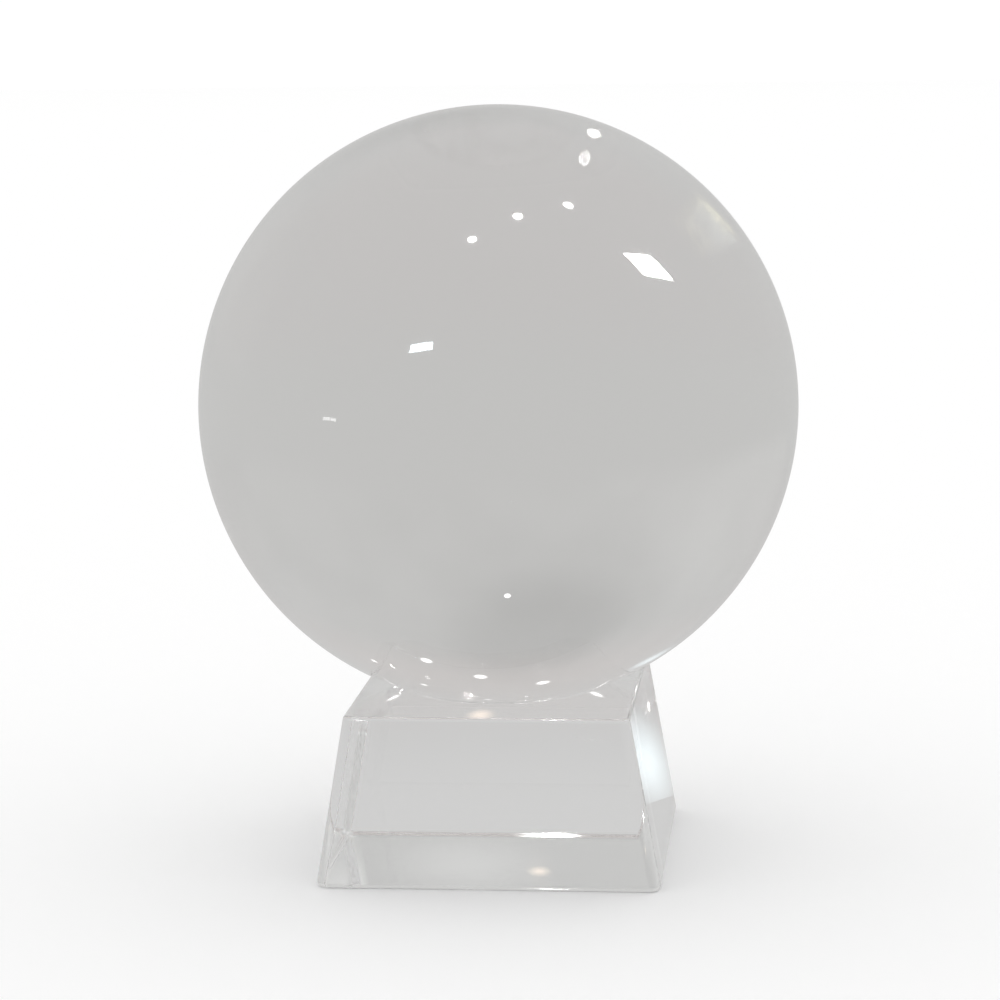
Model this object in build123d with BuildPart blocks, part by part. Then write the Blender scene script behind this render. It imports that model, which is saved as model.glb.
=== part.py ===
from math import sqrt
import os

from build123d import *

# Crystal ball on a glass block stand.
#
# The ball is a solid polished sphere. The stand is one solid block of glass
# whose left and right sides lean in towards its top, while its front and back
# are upright, with a shallow round seat ground into its top face. The ball
# isn't fixed: it rests in the seat by its own weight and lifts straight off.
#
# Frame: origin at the centre of the stand's underside, +Z up through the
# centre of the ball, the leaning sides at +X and -X, the upright ones at +Y
# and -Y.

# Driving dimensions, in millimetres
BALL_DIA = 100.0
STAND_BOTTOM = 56.5         # width in X at the table
STAND_TOP = 46.5            # width in X at the top face
STAND_DEPTH = 56.5          # from the front face to the back face
STAND_HEIGHT = 28.5
SEAT_DIA = 33.0             # rim of the seat, across the top face
SEAT_CLEARANCE = 0.15       # between the ball and the seat, all over the seat
CORNER_ROUND = 2.0          # the four slanted edges
BOTTOM_ROUND = 0.8          # the edge that meets the table
TOP_ROUND = 0.6             # the edge round the top face
SEAT_EDGE = 0.4             # small ground bevel round the seat's rim

# The seat is concentric with the ball and larger by the clearance
ball_radius = BALL_DIA / 2
seat_radius = ball_radius + SEAT_CLEARANCE
ball_height = STAND_HEIGHT + sqrt(seat_radius**2 - (SEAT_DIA / 2) ** 2)

os.makedirs("parts", exist_ok=True)

# Stand: a block with two leaning sides and every outer edge rounded
with BuildPart() as stand:
    with BuildSketch(Plane.XZ):
        with BuildLine():
            Polyline(
                (-STAND_BOTTOM / 2, 0),
                (STAND_BOTTOM / 2, 0),
                (STAND_TOP / 2, STAND_HEIGHT),
                (-STAND_TOP / 2, STAND_HEIGHT),
                close=True,
            )
        make_face()
    extrude(amount=STAND_DEPTH / 2, both=True)

    slanted_edges = stand.edges().group_by(Axis.Z)[1]
    fillet(slanted_edges, radius=CORNER_ROUND)
    bottom_edges = stand.faces().sort_by(Axis.Z)[0].edges()
    fillet(bottom_edges, radius=BOTTOM_ROUND)
    top_edges = stand.faces().sort_by(Axis.Z)[-1].edges()
    fillet(top_edges, radius=TOP_ROUND)

    # The seat, ground to the ball's own curve, then its rim bevelled
    with BuildSketch(Plane.XZ):
        with BuildLine():
            seat_axis = Line((0, ball_height), (0, ball_height - seat_radius))
            RadiusArc(seat_axis @ 1, (SEAT_DIA / 2, STAND_HEIGHT), -seat_radius)
            Line((SEAT_DIA / 2, STAND_HEIGHT), seat_axis @ 0)
        make_face()
    revolve(axis=Axis.Z, mode=Mode.SUBTRACT)
    seat_rim = stand.edges().filter_by(GeomType.CIRCLE).sort_by(SortBy.LENGTH)[-1]
    chamfer(seat_rim, length=SEAT_EDGE)
stand.part.label = "stand"
export_step(stand.part, "parts/stand.step")

# Ball: one solid sphere, a hair above the seat
with BuildPart() as crystal_ball:
    with BuildSketch(Plane.XZ):
        with BuildLine():
            half_circle = CenterArc((0, ball_height), ball_radius, -90, 180)
            Line(half_circle @ 1, half_circle @ 0)
        make_face()
    revolve(axis=Axis.Z)
crystal_ball.part.label = "crystal_ball"
export_step(crystal_ball.part, "parts/crystal_ball.step")

print(f"ball centre {ball_height:.3f} mm up, whole height {ball_height + ball_radius:.3f} mm")
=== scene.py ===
from math import asin, atan, cos, pi, radians, sin, sqrt, tan

import bmesh
import bpy
from mathutils import Matrix, Vector


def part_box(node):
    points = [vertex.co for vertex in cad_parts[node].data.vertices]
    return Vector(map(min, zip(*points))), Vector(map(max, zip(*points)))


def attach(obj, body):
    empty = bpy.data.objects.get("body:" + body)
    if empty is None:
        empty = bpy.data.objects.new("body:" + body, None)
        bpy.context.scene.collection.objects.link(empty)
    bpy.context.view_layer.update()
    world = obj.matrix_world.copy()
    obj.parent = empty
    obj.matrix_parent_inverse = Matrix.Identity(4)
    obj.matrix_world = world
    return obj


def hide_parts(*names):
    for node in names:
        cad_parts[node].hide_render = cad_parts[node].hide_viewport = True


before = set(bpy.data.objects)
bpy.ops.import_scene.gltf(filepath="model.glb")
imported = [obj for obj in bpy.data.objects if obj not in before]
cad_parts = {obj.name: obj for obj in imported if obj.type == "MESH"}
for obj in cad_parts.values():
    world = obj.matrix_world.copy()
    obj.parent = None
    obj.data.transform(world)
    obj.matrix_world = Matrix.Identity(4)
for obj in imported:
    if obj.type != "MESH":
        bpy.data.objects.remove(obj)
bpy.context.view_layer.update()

# A clear glass ball in the ground seat of a clear glass block. Metres, +Z up, the frame of the CAD model:
# the stand's front faces -Y and its leaning sides are at +X and -X.
BALL_LOW, BALL_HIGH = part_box("crystal_ball")
STAND_LOW, STAND_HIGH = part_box("stand")
BALL_RADIUS = (BALL_HIGH.z - BALL_LOW.z) / 2
BALL_CENTRE = Vector((0, 0, (BALL_HIGH.z + BALL_LOW.z) / 2))

# The stand's sizes, as the CAD model has them
STAND_BOTTOM = 0.0565       # between the leaning sides at the table, before rounding
STAND_TOP = 0.0465          # between the leaning sides at the top, before rounding
STAND_DEPTH = 0.0565        # between the upright faces
STAND_HEIGHT = STAND_HIGH.z
SIDE_LEAN = atan((STAND_BOTTOM - STAND_TOP) / 2 / STAND_HEIGHT)
FRONT_LEAN = 0.0            # the front and back are upright
CORNER_ROUND = 0.002        # the four slanted edges
BOTTOM_ROUND = 0.0008       # the edge that meets the table
TOP_ROUND = 0.0006          # the edge round the top face
SEAT_RIM = 0.0165           # radius of the seat at the top face
SEAT_BEVEL = 0.0004
SEAT_CLEARANCE = 0.00015    # between the ball and the seat
SEAT_RADIUS = BALL_RADIUS + SEAT_CLEARANCE


# ---------------------------------------------------------------------------
# Ball
# ---------------------------------------------------------------------------

BALL_STEPS = 88             # faces along each side of a grid
SEAM_SHARE = 1e-4           # points of two grids that are this close, in ball radii, are one point


def new_piece(name, mesh, body, node):
    """A finished piece that stands for a CAD node and moves with its body."""
    piece = bpy.data.objects.new(name, mesh)
    bpy.context.scene.collection.objects.link(piece)
    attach(piece, body)
    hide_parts(node)
    return piece


def ball_mesh(radius, centre):
    """A sphere from six square grids, so that it has no poles and its faces are nearly the same size."""
    bm = bmesh.new()
    sides = [
        (Vector((1, 0, 0)), Vector((0, 1, 0)), Vector((0, 0, 1))),
        (Vector((-1, 0, 0)), Vector((0, 0, 1)), Vector((0, 1, 0))),
        (Vector((0, 1, 0)), Vector((0, 0, 1)), Vector((1, 0, 0))),
        (Vector((0, -1, 0)), Vector((1, 0, 0)), Vector((0, 0, 1))),
        (Vector((0, 0, 1)), Vector((1, 0, 0)), Vector((0, 1, 0))),
        (Vector((0, 0, -1)), Vector((0, 1, 0)), Vector((1, 0, 0))),
    ]
    for normal, across, up in sides:
        grid = []
        for row in range(BALL_STEPS + 1):
            line = []
            for column in range(BALL_STEPS + 1):
                u = tan((column / BALL_STEPS - 0.5) * pi / 2)
                v = tan((row / BALL_STEPS - 0.5) * pi / 2)
                point = (normal + across * u + up * v).normalized()
                line.append(bm.verts.new(centre + point * radius))
            grid.append(line)
        for row in range(BALL_STEPS):
            for column in range(BALL_STEPS):
                bm.faces.new((grid[row][column], grid[row][column + 1],
                              grid[row + 1][column + 1], grid[row + 1][column]))
    bmesh.ops.remove_doubles(bm, verts=bm.verts, dist=radius * SEAM_SHARE)
    bmesh.ops.recalc_face_normals(bm, faces=bm.faces)
    mesh = bpy.data.meshes.new("ball")
    bm.to_mesh(mesh)
    bm.free()
    mesh.shade_smooth()
    normals = [(v.co - centre).normalized() for v in mesh.vertices]
    mesh.normals_split_custom_set_from_vertices(normals)
    return mesh


# ---------------------------------------------------------------------------
# Stand
# ---------------------------------------------------------------------------

SIDE_STEPS = 40             # along each side of an outline
CORNER_STEPS = 12           # round each corner of an outline
CORNER_SHARE = radians(10.4)    # how much of a circle, each side of 45 degrees, a corner takes
ROUND_STEPS = 12            # across a rounded edge
SEAT_STEPS = 22             # from the seat's bevel to its middle
ON_SEAT = 0.000001          # a point this close to the seat's sphere is on it

# Where the outlines lie, as shares of the way across a face: across the underside from its middle, up the
# sides, in over the top face and down the seat's bevel. Those next to a rounded edge keep its face flat.
UNDERSIDE_SHARES = (0.25, 0.5, 0.75, 0.98)
SIDE_SHARES = (0.01, 0.25, 0.5, 0.75, 0.99)
TOP_SHARES = (0.02, 0.34, 0.67, 0.98, 1.0)
BEVEL_SHARES = (0.25, 0.5, 0.75)
BEVEL_CURVE = 1.4           # over 1 makes the bevel gentle at the top face and steeper towards the seat

# A point's normal is its faces' normals, each weighted by its area to this power. The scale keeps the cubes
# of such small areas from vanishing.
AREA_POWER = 3
AREA_SCALE = 1e15


def square_outline(side, front, corner):
    """A rounded rectangle as points in order. side and front are (half width, height) for X and for Y."""
    points = []
    reach = pi / 4 - CORNER_SHARE
    for quarter in range(4):
        turn = Matrix.Rotation(quarter * pi / 2, 3, "Z")
        (here, height), (there, next_height) = (side, front) if quarter % 2 == 0 else (front, side)
        for step in range(SIDE_STEPS):
            along = tan((step / SIDE_STEPS * 2 - 1) * reach) / tan(reach)
            points.append(turn @ Vector((here, along * (there - corner), height)))
        for step in range(CORNER_STEPS):
            share = step / CORNER_STEPS
            rounded = Vector((cos(share * pi / 2), sin(share * pi / 2), 0)) * corner
            level = height + (next_height - height) * share
            points.append(turn @ (Vector((here - corner, there - corner, level)) + rounded))
    return points


def circle_outline(radius, height):
    """A circle with as many points as a rounded rectangle, at matching places."""
    points = []
    reach = pi / 4 - CORNER_SHARE
    for side in range(4):
        for step in range(SIDE_STEPS):
            angle = side * pi / 2 + (step / SIDE_STEPS * 2 - 1) * reach
            points.append(Vector((cos(angle) * radius, sin(angle) * radius, height)))
        for step in range(CORNER_STEPS):
            angle = side * pi / 2 + reach + step / CORNER_STEPS * 2 * CORNER_SHARE
            points.append(Vector((cos(angle) * radius, sin(angle) * radius, height)))
    return points


def between(first, second, share):
    """The outline that lies this share of the way from the first to the second."""
    return [a.lerp(b, share) for a, b in zip(first, second)]


def edge_profile(bottom, lean):
    """Steps round the lower edge and round the upper edge of a face that leans in.

    Each step is (half width, height, inset from the face before rounding).
    """
    def point(centre, height, radius, angle):
        half, level = centre + cos(angle) * radius, height + sin(angle) * radius
        return half, level, bottom - level * tan(lean) - half

    low = bottom - BOTTOM_ROUND * (1 + sin(lean)) / cos(lean)
    top = STAND_HEIGHT - TOP_ROUND
    high = bottom - (TOP_ROUND + top * sin(lean)) / cos(lean)
    shares = [step / ROUND_STEPS for step in range(ROUND_STEPS + 1)]
    lower = [point(low, BOTTOM_ROUND, BOTTOM_ROUND, -pi / 2 + (lean + pi / 2) * s) for s in shares]
    upper = [point(high, top, TOP_ROUND, lean + (pi / 2 - lean) * s) for s in shares]
    return lower, upper


def stand_outlines():
    """The outlines of the stand's surface, from its underside round to its seat, and the seat's lowest Z."""
    side_lower, side_upper = edge_profile(STAND_BOTTOM / 2, SIDE_LEAN)
    front_lower, front_upper = edge_profile(STAND_DEPTH / 2, FRONT_LEAN)

    def rounded(side, front):
        return [square_outline(s[:2], f[:2], CORNER_ROUND - max(s[2], f[2])) for s, f in zip(side, front)]

    lower_edge = rounded(side_lower, front_lower)
    upper_edge = rounded(side_upper, front_upper)
    underside_middle = [Vector()] * len(lower_edge[0])
    outlines = [between(underside_middle, lower_edge[0], share) for share in UNDERSIDE_SHARES]
    outlines += lower_edge
    outlines += [between(lower_edge[-1], upper_edge[0], share) for share in SIDE_SHARES]
    outlines += upper_edge
    # Top face, from its edge in to the seat's rim
    rim = circle_outline(SEAT_RIM + SEAT_BEVEL, STAND_HEIGHT)
    outlines += [between(upper_edge[-1], rim, share) for share in TOP_SHARES]
    # Seat: a small bevel, then the ball's own curve
    bevel_foot = BALL_CENTRE.z - sqrt(SEAT_RADIUS**2 - (SEAT_RIM - SEAT_BEVEL) ** 2)
    for share in BEVEL_SHARES:
        radius = SEAT_RIM + SEAT_BEVEL * (1 - 2 * share)
        height = STAND_HEIGHT + (bevel_foot - STAND_HEIGHT) * share**BEVEL_CURVE
        outlines.append(circle_outline(radius, height))
    widest = asin((SEAT_RIM - SEAT_BEVEL) / SEAT_RADIUS)
    for step in range(SEAT_STEPS):
        angle = widest * (1 - step / SEAT_STEPS)
        outlines.append(circle_outline(sin(angle) * SEAT_RADIUS, BALL_CENTRE.z - cos(angle) * SEAT_RADIUS))
    return outlines, BALL_CENTRE.z - SEAT_RADIUS


def stand_mesh():
    """The block as one closed surface, its faces flat and its edges round."""
    outlines, seat_floor = stand_outlines()
    bm = bmesh.new()
    rings = [[bm.verts.new(p) for p in outline] for outline in outlines]
    count = len(rings[0])
    for low, high in zip(rings, rings[1:]):
        for i in range(count):
            j = (i + 1) % count
            bm.faces.new((low[i], low[j], high[j], high[i]))
    for ring, height in ((rings[0], 0.0), (rings[-1], seat_floor)):
        middle = bm.verts.new((0, 0, height))
        for i in range(count):
            bm.faces.new((ring[i], ring[(i + 1) % count], middle))
    bmesh.ops.recalc_face_normals(bm, faces=bm.faces)
    # The seat has the ball's own curve. Elsewhere large faces set the normals that they share with the
    # narrow faces of the round edges.
    normals = []
    for vert in bm.verts:
        to_ball = BALL_CENTRE - vert.co
        if abs(to_ball.length - SEAT_RADIUS) < ON_SEAT:
            normals.append(to_ball.normalized())
            continue
        total = Vector()
        for face in vert.link_faces:
            total += face.normal * face.calc_area() ** AREA_POWER * AREA_SCALE
        normals.append(total.normalized())
    mesh = bpy.data.meshes.new("stand_block")
    bm.to_mesh(mesh)
    bm.free()
    mesh.shade_smooth()
    mesh.normals_split_custom_set_from_vertices(normals)
    return mesh


# ---------------------------------------------------------------------------
# Shader helpers
# ---------------------------------------------------------------------------

def node(tree, kind, **values):
    """A new node. Each value is a property of it, or else an input socket with spaces for underscores."""
    made = tree.nodes.new(kind)
    for key, value in values.items():
        if hasattr(made, key):
            setattr(made, key, value)
        else:
            made.inputs[key.replace("_", " ")].default_value = value
    return made


def maths(tree, operation, first, second):
    """A Math node between two sockets or numbers, as its output socket."""
    made = tree.nodes.new("ShaderNodeMath")
    made.operation = operation
    for socket, value in zip(made.inputs, (first, second)):
        if isinstance(value, (int, float)):
            socket.default_value = value
        else:
            tree.links.new(value, socket)
    return made.outputs[0]


def stepped(tree, value, low, high, start, end):
    """The value eased from start at low to end at high, as an output socket."""
    made = node(tree, "ShaderNodeMapRange", interpolation_type="SMOOTHSTEP",
                From_Min=low, From_Max=high, To_Min=start, To_Max=end)
    tree.links.new(value, made.inputs["Value"])
    return made.outputs["Result"]


def new_material(name):
    material = bpy.data.materials.new(name)
    material.use_nodes = True
    material.node_tree.nodes.clear()
    return material, material.node_tree


# ---------------------------------------------------------------------------
# Glass
# ---------------------------------------------------------------------------

GLASS_IOR = 1.517
# The glass absorbs 1 minus this colour, times its density, in each metre
GLASS_COLOUR = (0.90, 0.895, 0.89, 1)
BALL_DENSITY, STAND_DENSITY = 12.0, 3.0
FILM_ROUGHNESS = 0.02       # where the film that a cloth leaves is thickest
FILM_COLOUR = (0.98, 0.982, 0.98, 1)
POLISH_DEPTH = 0.000003     # how uneven polishing leaves the surface


def glass(name, density, seed):
    """Clear polished glass with faint wipe marks, a trace of unevenness and a little absorption.

    The density sets how strongly it absorbs, and the seed moves the wipe marks.
    """
    material, tree = new_material(name)
    link = tree.links.new
    out = node(tree, "ShaderNodeOutputMaterial")
    # The coat adds a weak blurred reflection to each sharp one
    shader = node(tree, "ShaderNodeBsdfPrincipled", IOR=GLASS_IOR, Transmission_Weight=1.0,
                  Coat_Weight=1.0, Coat_IOR=1.15, Coat_Roughness=0.09)
    place = node(tree, "ShaderNodeTexCoord")

    # Wipe marks: long faint streaks where a cloth has left a film
    wipe_way = node(tree, "ShaderNodeMapping", Location=(seed, 0, 0), Rotation=(0.5, 0.3, 0.6),
                    Scale=(30, 30, 120))
    streaks = node(tree, "ShaderNodeTexNoise", Scale=1.0, Detail=2.0, Roughness=0.5)
    patches = node(tree, "ShaderNodeTexNoise", Scale=34.0, Detail=2.0)
    link(place.outputs["Object"], wipe_way.inputs["Vector"])
    link(wipe_way.outputs["Vector"], streaks.inputs["Vector"])
    link(place.outputs["Object"], patches.inputs["Vector"])
    film = maths(tree, "MULTIPLY", stepped(tree, streaks.outputs["Fac"], 0.5, 0.75, 0.0, 1.0),
                 stepped(tree, patches.outputs["Fac"], 0.45, 0.7, 0.0, 1.0))
    link(maths(tree, "MULTIPLY", film, FILM_ROUGHNESS), shader.inputs["Roughness"])

    # The film also takes a trace of light
    tint = node(tree, "ShaderNodeMix", data_type="RGBA")
    tint.inputs["A"].default_value = (1, 1, 1, 1)
    tint.inputs["B"].default_value = FILM_COLOUR
    link(film, tint.inputs["Factor"])
    link(tint.outputs["Result"], shader.inputs["Base Color"])

    # Polishing leaves the surface a hair uneven
    waves = node(tree, "ShaderNodeTexNoise", Scale=55.0, Detail=1.0)
    uneven = node(tree, "ShaderNodeBump", Strength=1.0, Distance=POLISH_DEPTH)
    link(place.outputs["Object"], waves.inputs["Vector"])
    link(waves.outputs["Fac"], uneven.inputs["Height"])
    link(uneven.outputs["Normal"], shader.inputs["Normal"])

    volume = node(tree, "ShaderNodeVolumeAbsorption", Density=density, Color=GLASS_COLOUR)
    link(shader.outputs["BSDF"], out.inputs["Surface"])
    link(volume.outputs["Volume"], out.inputs["Volume"])
    return material


ball = new_piece("crystal_ball_glass", ball_mesh(BALL_RADIUS, BALL_CENTRE), "ball", "crystal_ball")
ball.data.materials.append(glass("ball_glass", BALL_DENSITY, seed=0.0))
stand = new_piece("stand_block_glass", stand_mesh(), "root", "stand")
stand.data.materials.append(glass("stand_glass", STAND_DENSITY, seed=5.0))


# ---------------------------------------------------------------------------
# Camera
# ---------------------------------------------------------------------------

CAMERA_AZIMUTH = radians(5.88)      # from the front towards +X
CAMERA_HEIGHT = radians(6.92)       # above the ball's centre
CAMERA_ROLL = radians(-0.76)
CAMERA_DISTANCE = 10.72 * BALL_RADIUS
LENS, SENSOR = 115.3, 36.0          # millimetres
AIM_BELOW = 0.317                   # how far under the ball's centre the camera aims, in ball radii
AIM_RIGHT = 0.0053                  # and how far to the right of it

to_camera = Vector((
    sin(CAMERA_AZIMUTH) * cos(CAMERA_HEIGHT),
    -cos(CAMERA_AZIMUTH) * cos(CAMERA_HEIGHT),
    sin(CAMERA_HEIGHT),
))
level_right = Vector((0, 0, 1)).cross(to_camera).normalized()
level_up = to_camera.cross(level_right)
view_right = level_right * cos(CAMERA_ROLL) + level_up * sin(CAMERA_ROLL)
view_up = level_up * cos(CAMERA_ROLL) - level_right * sin(CAMERA_ROLL)
eye = BALL_CENTRE + to_camera * CAMERA_DISTANCE


def make_camera():
    data = bpy.data.cameras.new("camera")
    data.lens = LENS
    data.sensor_width = SENSOR
    camera = bpy.data.objects.new("camera", data)
    bpy.context.scene.collection.objects.link(camera)
    aim = BALL_CENTRE - view_up * AIM_BELOW * BALL_RADIUS + view_right * AIM_RIGHT * BALL_RADIUS
    back = (eye - aim).normalized()
    right = view_up.cross(back).normalized()
    up = back.cross(right)
    camera.matrix_world = Matrix.Translation(eye) @ Matrix((right, up, back)).transposed().to_4x4()
    bpy.context.scene.camera = camera


make_camera()


# ---------------------------------------------------------------------------
# Studio
# ---------------------------------------------------------------------------

# What the camera sees straight on is plain pale paper. What the glass shows is a softly lit room, given as
# directions from the ball's centre, in degrees: azimuth from +Y towards +X, and elevation.
PAPER = (1.02, 1.02, 1.02, 1)
ROOM = (0.605, 0.605, 0.598, 1)
ROOM_WARM = (0.640, 0.615, 0.605, 1)
TABLE = (0.606, 0.605, 0.602, 1)
TABLE_WARM = (0.606, 0.598, 0.593, 1)

# Heights in the room run from 0 at the horizon to 1 overhead
HORIZON_FADE = (0.0, 0.1)   # the room's shades start softly between these
WARM_HEIGHTS = (0.5, 0.75)  # and its tone turns warm between these
CLOUD_RANGE = (0.3, 0.7)    # its tone also drifts slightly, as a noise goes between these
CLOUD_SHARE = 0.02          # how far that drift goes, up or down

# Soft lighter and darker parts of the room, in degrees: azimuth, elevation, inner and outer radius, and the
# share that each adds to the tone
ROOM_SHADES = (
    (-12, 29, 4, 17, -0.12),
    (-14, 29, 16, 24, -0.035),
    (-52, 9, 8, 30, 0.07),
    (-22, 1, 1, 5, 0.03),
)

FLOOR_REACH = 6.0           # half the floor's width
FLOOR_HEIGHT = -0.00005     # a hair under the stand
PAINTED_TABLE_GLOW = 1.06           # how bright the table's painted glow, a painted pool of light, is next to the stand
# Distances from the origin between which that glow ends, the table turns warm, and it turns into the room
GLOW_FADE = (0.05, 0.12)
WARM_FADE = (0.09, 0.14)
ROOM_FADE = (0.22, 0.45)

WHITE = (1, 1, 1)
ICE = (0.80, 0.95, 1)
PEACH = (1, 0.78, 0.58)
YELLOW = (1, 0.95, 0.55)

# Which rays see a lamp: those that mirror off the outside of the glass, those that pass straight through it,
# or those that also mirror once or more on their way
OUTSIDE, THROUGH, MIRRORED = "outside", "through", "mirrored"

CEILING = 1.0               # height of the lamps over the ball's centre, in metres
AISLE = (0.23, 0.21)        # from one lamp to the next in a row, along +X and along +Y, in metres
LAMP_STEPS = 20             # points round a lamp

# Straight rows of ceiling lamps: name, first lamp's X and Y, how many, radius, colour, brightness, seen by
ROWS = (
    ("near", (-0.10, -0.37), 3, 0.030, WHITE, 200, (OUTSIDE, MIRRORED)),
    ("middle", (0.00, 0.50), 3, 0.022, WHITE, 2, (THROUGH,)),
    ("far", (-0.25, 0.85), 3, 0.036, WHITE, 3, (THROUGH,)),
    ("left", (-0.50, 0.35), 1, 0.025, WHITE, 3, (THROUGH,)),
    ("end", (-0.35, 2.95), 1, 0.030, WHITE, 4, (THROUGH,)),
    ("back", (-0.35, 0.30), 2, 0.035, WHITE, 5, (MIRRORED,)),
    ("back_warm", (0.00, 0.70), 1, 0.060, PEACH, 1.2, (MIRRORED,)),
    ("right", (0.35, 0.30), 1, 0.035, WHITE, 5, (MIRRORED,)),
)

# One tube lamp beside the first lamp of the near row, and its hot middle
TUBE = (-0.11, -0.42)       # X and Y of its middle
TUBE_HALF_LENGTH = 0.10
TUBE_HALF_WIDTH = 0.006
TUBE_STRENGTH = 60
TUBE_MIDDLE_RADIUS = 0.020
TUBE_MIDDLE_STRENGTH = 80

# Windows round the room: name, first and last azimuth, low and high elevation, lean, colour, brightness,
# seen by. The lean raises the side at the last azimuth by that many degrees.
WALL_DISTANCE = 0.9         # from the ball's centre to a window's corners
WINDOWS = (
    ("window", 85, 97, 35, 44, 6, WHITE, 60, (OUTSIDE,)),
    ("window_inside", 85, 98, 32, 46, 0, ICE, 7, (MIRRORED,)),
    ("window_edge", 83, 90, 33, 48, 0, YELLOW, 7, (MIRRORED,)),
    ("far_window", -160, -151, 26, 29, -2, ICE, 20, (OUTSIDE,)),
    ("side_window", 94, 112, 22, 28, 0, WHITE, 4, (MIRRORED,)),
    ("low_strip", -125, -119, -1, 0, 0, WHITE, 6, (OUTSIDE,)),
)

# Small oval cards behind the stand, whose glow shows in its leaning side and in its underside: name, middle,
# half width, half height, colour, brightness, seen by
CARD_STEPS = 24             # points round a card
CARD_BEHIND = STAND_DEPTH * 0.7         # behind the stand's middle
UNDER_CARD_BEHIND = STAND_DEPTH * 1.5
CARDS = (
    ("side_glow", (STAND_BOTTOM * 0.57, CARD_BEHIND, 0.008), 0.006, 0.013, ICE, 0.62, (OUTSIDE,)),
    ("under_glow", (-STAND_BOTTOM / 4, UNDER_CARD_BEHIND, 0.021), 0.022, 0.008, WHITE, 0.10, (MIRRORED,)),
    ("under_spot", (0, UNDER_CARD_BEHIND, 0.022), 0.003, 0.0013, PEACH, 0.5, (MIRRORED,)),
)


def towards(azimuth, elevation):
    """The point in this direction from the ball's centre, as far off as the walls."""
    turn, rise = radians(azimuth), radians(elevation)
    return BALL_CENTRE + Vector((sin(turn) * cos(rise), cos(turn) * cos(rise), sin(rise))) * WALL_DISTANCE


def circle_angles(steps):
    return [2 * pi * step / steps for step in range(steps)]


def sees_paper(tree):
    """1 for the camera's own rays and for the light that reaches the floor, 0 for what the glass shows."""
    path = node(tree, "ShaderNodeLightPath")
    on_floor = maths(tree, "GREATER_THAN", path.outputs["Diffuse Depth"], 0.5)
    return maths(tree, "MAXIMUM", path.outputs["Is Camera Ray"], on_floor)


def make_world():
    world = bpy.data.worlds.new("studio")
    bpy.context.scene.world = world
    world.use_nodes = True
    tree = world.node_tree
    tree.nodes.clear()
    link = tree.links.new
    out = node(tree, "ShaderNodeOutputWorld")
    way = node(tree, "ShaderNodeTexCoord")

    # The room's soft shades, and a slight drift in its tone
    shade = 0.0
    for azimuth, elevation, inner, outer, amount in ROOM_SHADES:
        middle = (towards(azimuth, elevation) - BALL_CENTRE).normalized()
        facing = node(tree, "ShaderNodeVectorMath", operation="DOT_PRODUCT")
        facing.inputs[1].default_value = middle
        link(way.outputs["Generated"], facing.inputs[0])
        spot = stepped(tree, facing.outputs["Value"], cos(radians(outer)), cos(radians(inner)), 0.0, amount)
        shade = maths(tree, "ADD", shade, spot)
    clouds = node(tree, "ShaderNodeTexNoise", Scale=3.5, Detail=2.0)
    link(way.outputs["Generated"], clouds.inputs["Vector"])
    drift = stepped(tree, clouds.outputs["Fac"], *CLOUD_RANGE, -CLOUD_SHARE, CLOUD_SHARE)
    shade = maths(tree, "ADD", shade, drift)
    # They start softly above the horizon, where the room meets the table
    height = node(tree, "ShaderNodeSeparateXYZ")
    link(way.outputs["Generated"], height.inputs[0])
    shade = maths(tree, "MULTIPLY", shade, stepped(tree, height.outputs["Z"], *HORIZON_FADE, 0.0, 1.0))
    shade = maths(tree, "ADD", shade, 1.0)

    # Neutral round the horizon and warmer overhead
    tone = node(tree, "ShaderNodeMix", data_type="RGBA")
    tone.inputs["A"].default_value = ROOM
    tone.inputs["B"].default_value = ROOM_WARM
    link(stepped(tree, height.outputs["Z"], *WARM_HEIGHTS, 0.0, 1.0), tone.inputs["Factor"])
    room = node(tree, "ShaderNodeBackground")
    link(tone.outputs["Result"], room.inputs["Color"])
    link(shade, room.inputs["Strength"])

    paper = node(tree, "ShaderNodeBackground", Color=PAPER)
    mix = node(tree, "ShaderNodeMixShader")
    link(sees_paper(tree), mix.inputs[0])
    link(room.outputs[0], mix.inputs[1])
    link(paper.outputs[0], mix.inputs[2])
    link(mix.outputs[0], out.inputs["Surface"])


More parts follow.
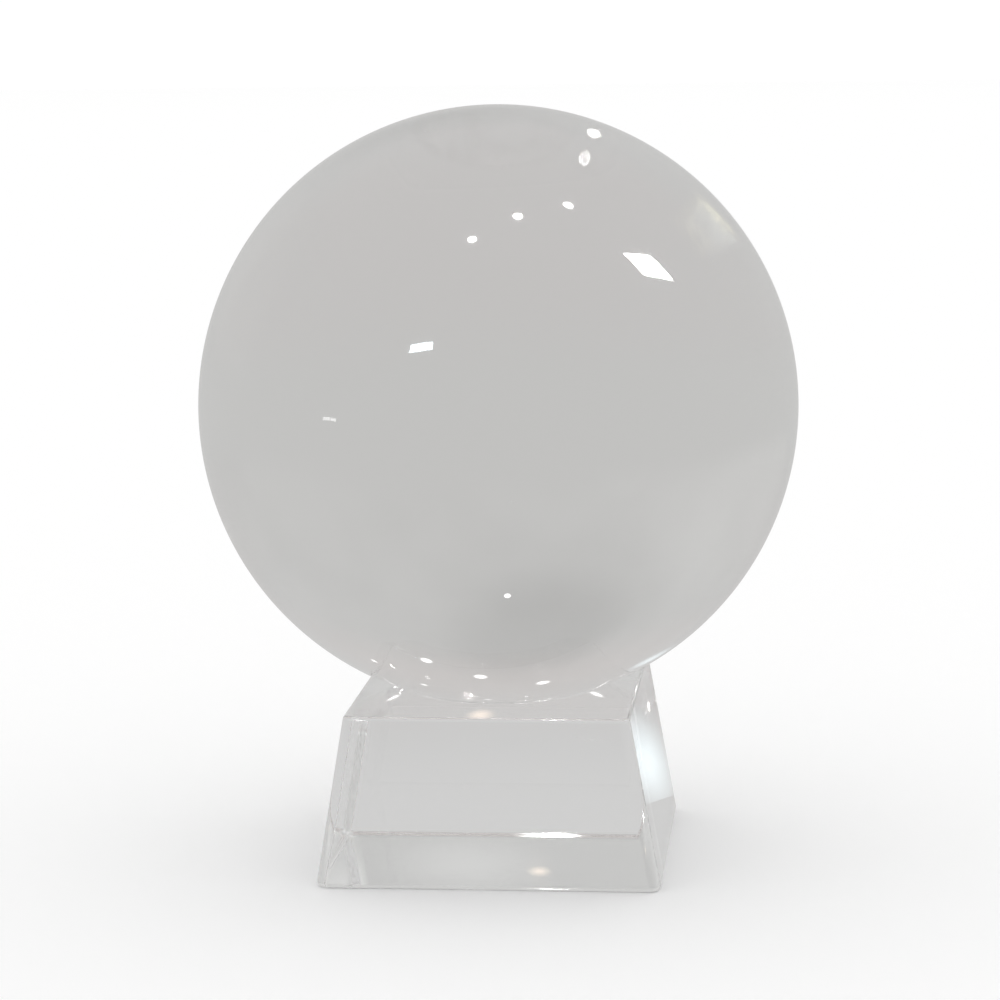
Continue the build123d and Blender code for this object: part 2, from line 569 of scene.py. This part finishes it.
def make_floor():
    """A pale floor. Through the glass it is a table whose light is painted in as a glow: a painted pool of
    light by the stand, and warm further off.
    """
    mesh = bpy.data.meshes.new("floor")
    square = ((-1, -1), (1, -1), (1, 1), (-1, 1))
    corners = [(x * FLOOR_REACH, y * FLOOR_REACH, FLOOR_HEIGHT) for x, y in square]
    mesh.from_pydata(corners, [], [(0, 1, 2, 3)])
    floor = bpy.data.objects.new("floor", mesh)
    bpy.context.scene.collection.objects.link(floor)
    material, tree = new_material("floor")
    link = tree.links.new
    out = node(tree, "ShaderNodeOutputMaterial")
    paper = node(tree, "ShaderNodeBsdfDiffuse")
    paper.inputs["Color"].default_value = (1, 1, 1, 1)
    place = node(tree, "ShaderNodeTexCoord")
    reach = node(tree, "ShaderNodeVectorMath", operation="LENGTH")
    link(place.outputs["Object"], reach.inputs[0])
    near = node(tree, "ShaderNodeMix", data_type="RGBA")
    near.inputs["A"].default_value = TABLE
    near.inputs["B"].default_value = TABLE_WARM
    link(stepped(tree, reach.outputs["Value"], *WARM_FADE, 0.0, 1.0), near.inputs["Factor"])
    tone = node(tree, "ShaderNodeMix", data_type="RGBA")
    tone.inputs["B"].default_value = ROOM
    link(near.outputs["Result"], tone.inputs["A"])
    link(stepped(tree, reach.outputs["Value"], *ROOM_FADE, 0.0, 1.0), tone.inputs["Factor"])
    glow = node(tree, "ShaderNodeEmission")
    link(tone.outputs["Result"], glow.inputs["Color"])
    # Painted light: the table's glow is painted brighter next to the stand
    link(stepped(tree, reach.outputs["Value"], *GLOW_FADE, PAINTED_TABLE_GLOW, 1.0), glow.inputs["Strength"])
    mix = node(tree, "ShaderNodeMixShader")
    link(sees_paper(tree), mix.inputs[0])
    link(glow.outputs[0], mix.inputs[1])
    link(paper.outputs[0], mix.inputs[2])
    link(mix.outputs[0], out.inputs["Surface"])
    floor.data.materials.append(material)


def panel(name, corners, colour, strength, seen, soft=False):
    """A clear shape that glows, but only in the glass. A soft one fades from its middle to its edge."""
    middle = sum(corners, Vector()) / len(corners)
    count = len(corners)
    mesh = bpy.data.meshes.new(name)
    mesh.from_pydata([tuple(p) for p in corners] + [tuple(middle)], [],
                     [(i, (i + 1) % count, count) for i in range(count)])
    fade = mesh.attributes.new("fade", "FLOAT", "POINT")
    fade.data.foreach_set("value", [0.0 if soft else 1.0] * count + [1.0])
    thing = bpy.data.objects.new(name, mesh)
    bpy.context.scene.collection.objects.link(thing)
    thing.visible_camera = False
    thing.visible_diffuse = False
    thing.visible_shadow = False

    material, tree = new_material(name)
    link = tree.links.new
    out = node(tree, "ShaderNodeOutputMaterial")
    path = node(tree, "ShaderNodeLightPath")
    shape = node(tree, "ShaderNodeAttribute", attribute_name="fade")
    entered = maths(tree, "GREATER_THAN", path.outputs["Transmission Depth"], 0.5)
    turned = maths(tree, "GREATER_THAN", path.outputs["Glossy Depth"], 0.5)
    masks = {
        OUTSIDE: maths(tree, "SUBTRACT", 1.0, entered),
        THROUGH: maths(tree, "MULTIPLY", entered, maths(tree, "SUBTRACT", 1.0, turned)),
        MIRRORED: maths(tree, "MULTIPLY", entered, turned),
    }
    shown = 0.0
    for way in seen:
        shown = maths(tree, "ADD", shown, masks[way])
    power = maths(tree, "MULTIPLY", stepped(tree, shape.outputs["Fac"], 0.0, 1.0, 0.0, 1.0), strength)
    # No bright patches on the floor from light that the glass gathers
    power = maths(tree, "MULTIPLY", power, maths(tree, "LESS_THAN", path.outputs["Diffuse Depth"], 0.5))
    power = maths(tree, "MULTIPLY", power, shown)
    glow = node(tree, "ShaderNodeEmission", Color=(*colour, 1))
    clear = node(tree, "ShaderNodeBsdfTransparent")
    both = node(tree, "ShaderNodeAddShader")
    link(power, glow.inputs["Strength"])
    link(glow.outputs[0], both.inputs[0])
    link(clear.outputs[0], both.inputs[1])
    link(both.outputs[0], out.inputs["Surface"])
    thing.data.materials.append(material)


def lamp(name, x, y, radius, colour, strength, seen):
    """A round lamp in the ceiling, turned to the ball."""
    middle = BALL_CENTRE + Vector((x, y, CEILING))
    out = (middle - BALL_CENTRE).normalized()
    side = out.cross(Vector((0, 1, 0))).normalized() * radius
    up = side.cross(out)
    points = [middle + side * cos(angle) + up * sin(angle) for angle in circle_angles(LAMP_STEPS)]
    panel(name, points, colour, strength, seen, soft=True)


def tube_lamp():
    """A long thin lamp and its hot middle, whose glow shows as a sparkle along the stand's far lower edge."""
    middle = BALL_CENTRE + Vector((*TUBE, CEILING))
    along, across = Vector((TUBE_HALF_LENGTH, 0, 0)), Vector((0, TUBE_HALF_WIDTH, 0))
    points = [middle - along, middle - across, middle + along, middle + across]
    panel("tube", points, WHITE, TUBE_STRENGTH, (MIRRORED,), soft=True)
    lamp("tube_middle", *TUBE, TUBE_MIDDLE_RADIUS, WHITE, TUBE_MIDDLE_STRENGTH, (MIRRORED,))


def oval(middle, half_width, half_height):
    """The outline of an upright oval that faces the front."""
    return [
        Vector(middle) + Vector((cos(angle) * half_width, 0, sin(angle) * half_height))
        for angle in circle_angles(CARD_STEPS)
    ]


make_world()
make_floor()
for name, (x, y), count, radius, colour, strength, seen in ROWS:
    for place in range(count):
        lamp(f"{name}_{place + 1}", x + AISLE[0] * place, y + AISLE[1] * place, radius, colour, strength,
             seen)
tube_lamp()
for name, first, last, low, high, lean, colour, strength, seen in WINDOWS:
    corners = ((first, low), (last, low + lean), (last, high + lean), (first, high))
    panel(name, [towards(*corner) for corner in corners], colour, strength, seen, soft=OUTSIDE not in seen)
for name, middle, half_width, half_height, colour, strength, seen in CARDS:
    panel(name, oval(middle, half_width, half_height), colour, strength, seen, soft=True)

scene = bpy.context.scene
scene.view_settings.view_transform = "Standard"
# Light turns many times inside the block, and a path that is cut short shows as a dark patch
GLASS_BOUNCES = 96
CLEAR_BOUNCES = 24          # through the clear panels
scene.cycles.max_bounces = GLASS_BOUNCES
scene.cycles.transmission_bounces = GLASS_BOUNCES
scene.cycles.glossy_bounces = GLASS_BOUNCES
scene.cycles.transparent_max_bounces = CLEAR_BOUNCES
scene.cycles.sample_clamp_indirect = 0
